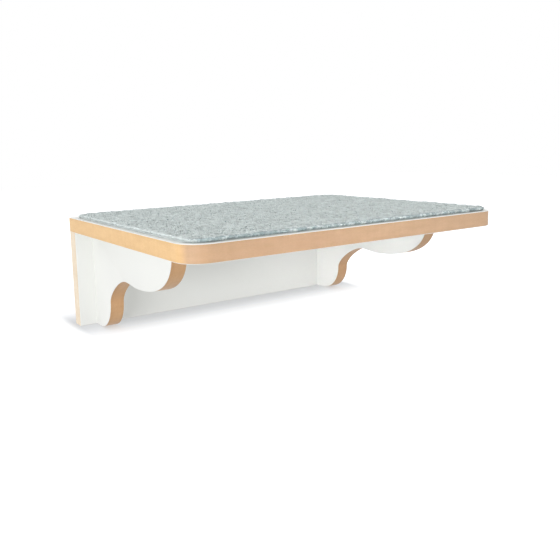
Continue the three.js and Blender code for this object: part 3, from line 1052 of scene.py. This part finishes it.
def pale_floor():
    """A matt pale floor with a glow. Only the camera meets it, and only from above: light passes
    through it, so the underside is lit and can be seen."""
    material, tree, at = surface("pale_floor", {})
    tree.nodes.remove(tree.nodes["Principled BSDF"])
    centred = add_node(tree, "ShaderNodeVectorMath", {0: at, 1: plate_middle}, operation="SUBTRACT")
    mirrored = add_node(tree, "ShaderNodeVectorMath", {0: centred}, operation="ABSOLUTE")
    past = add_node(tree, "ShaderNodeVectorMath", {0: mirrored, 1: plate_half}, operation="SUBTRACT")
    outside = add_node(tree, "ShaderNodeVectorMath", {0: past, 1: (0, 0, 0)}, operation="MAXIMUM")
    narrowed = add_node(tree, "ShaderNodeVectorMath", {0: outside, 1: contact_narrowing},
                        operation="MULTIPLY")
    away = add_node(tree, "ShaderNodeVectorMath", {0: narrowed}, operation="LENGTH")
    contact = add_node(tree, "ShaderNodeMapRange", {
        "Value": away, "From Min": 0.0, "From Max": contact_reach, "To Min": foot_glow, "To Max": open_glow,
    }, interpolation_type="SMOOTHSTEP")
    distant = add_node(tree, "ShaderNodeMapRange", {
        "Value": away, "From Min": far_start, "From Max": far_end, "To Min": 0.0, "To Max": far_gain,
    })
    level = add_node(tree, "ShaderNodeMath", {0: contact, 1: distant}, operation="ADD")
    glow = add_node(tree, "ShaderNodeEmission", {"Color": "#ffffff", "Strength": level})
    matt = add_node(tree, "ShaderNodeBsdfDiffuse", {"Color": "#a4a6aa"})
    burnt = add_node(tree, "ShaderNodeAddShader", {0: glow, 1: matt})
    clear = add_node(tree, "ShaderNodeBsdfTransparent", {})
    below = add_node(tree, "ShaderNodeNewGeometry", {}).outputs["Backfacing"]
    camera_ray = add_node(tree, "ShaderNodeLightPath", {}).outputs["Is Camera Ray"]
    above = add_node(tree, "ShaderNodeMath", {0: camera_ray, 1: below}, operation="SUBTRACT", use_clamp=True)
    seen = add_node(tree, "ShaderNodeMixShader", {0: above, 1: clear, 2: burnt})
    linked(tree, tree.nodes["Material Output"], {"Surface": seen})
    return material


floor_points = [(x, y, floor_level) for x, y in rectangle(-floor_half, -floor_half, floor_half, floor_half)]
floor = drawn("floor", floor_points, faces=[(0, 1, 2, 3)])
floor.data.materials.append(pale_floor())

# Light: two broad low lamps at the front, a strong one on the left and a weak one on the right, and a
# narrow faint beam on the right bracket. The rest comes from a pale room, which is dimmer below.
shelf_middle = (cad_low + cad_high) / 2
right_bracket_middle = Vector((0.18, -0.13, -0.02))


def direction(azimuth, elevation):
    """Where something stands, in degrees. Azimuth 0 is in front of the shelf, negative to the left."""
    turn, tilt = math.radians(azimuth), math.radians(elevation)
    return Vector((math.sin(turn) * math.cos(tilt), -math.cos(turn) * math.cos(tilt), math.sin(tilt)))


def soft_lamp(name, azimuth, elevation, distance, width, height, power, aim=shelf_middle, spread=180):
    """A panel lamp that stands at a distance from its aim and faces it."""
    lamp = bpy.data.lights.new(name, "AREA")
    lamp.shape = "RECTANGLE"
    lamp.size = width
    lamp.size_y = height
    lamp.energy = power
    lamp.spread = math.radians(spread)
    holder = placed(name, lamp)
    back = direction(azimuth, elevation)
    holder.location = aim + back * distance
    holder.rotation_mode = "QUATERNION"
    holder.rotation_quaternion = back.to_track_quat("Z", "Y")


soft_lamp("left_lamp", -62, 5, distance=1.8, width=1.4, height=0.4, power=13.4)
soft_lamp("right_lamp", 38, 4, distance=2.0, width=1.6, height=0.35, power=4.6)
soft_lamp("fill_lamp", -48, 1, distance=1.6, width=0.2, height=0.2, power=0.05,
          aim=right_bracket_middle, spread=10)

# The room's strength below and above the horizon, and how far from it the one becomes the other
room_below, room_above = 0.5, 0.79
horizon_blur = 0.2
world = bpy.data.worlds.new("pale_room")
bpy.context.scene.world = world
world.use_nodes = True
room = world.node_tree
ray = add_node(room, "ShaderNodeLightPath", {}).outputs
direct = ray["Is Camera Ray"]
for kind in ("Is Glossy Ray", "Is Transmission Ray"):
    direct = add_node(room, "ShaderNodeMath", {0: direct, 1: ray[kind]}, operation="MAXIMUM")
generated = add_node(room, "ShaderNodeTexCoord", {}).outputs["Generated"]
height = add_node(room, "ShaderNodeSeparateXYZ", {0: generated}).outputs["Z"]
lit = add_node(room, "ShaderNodeMapRange", {
    "Value": height, "From Min": -horizon_blur, "From Max": horizon_blur,
    "To Min": room_below, "To Max": room_above,
})
strength = add_node(room, "ShaderNodeMapRange", {"Value": direct, "To Min": lit, "To Max": 1.0})
linked(room, room.nodes["Background"], {"Color": "#ffffff", "Strength": strength})
bpy.context.scene.view_settings.view_transform = "Standard"

# Camera: where the photograph was taken from, a little above the shelf and to its left. The frame is
# a part of a larger picture, so the lens is shifted.
camera_azimuth = -33.31
camera_elevation = 8.72
camera_roll = -1.36
camera_distance = 0.83142
camera_target = Vector((-0.01989, -0.120, 0.0361))
focal_length_px = 650.53
sensor_width_mm = 36
picture_px = 560
centre_px = Vector((250, 245))

camera_data = bpy.data.cameras.new("camera")
camera_data.sensor_width = sensor_width_mm
camera_data.lens = sensor_width_mm * focal_length_px / picture_px
camera_data.shift_x = (picture_px / 2 - centre_px.x) / picture_px
camera_data.shift_y = (centre_px.y - picture_px / 2) / picture_px
camera = placed("camera", camera_data)
camera.location = camera_target + direction(camera_azimuth, camera_elevation) * camera_distance
camera.rotation_mode = "XYZ"
camera.rotation_euler = (math.pi / 2 - math.radians(camera_elevation), 0, math.radians(camera_azimuth))
camera.rotation_euler.rotate_axis("Z", math.radians(camera_roll))
bpy.context.scene.camera = camera
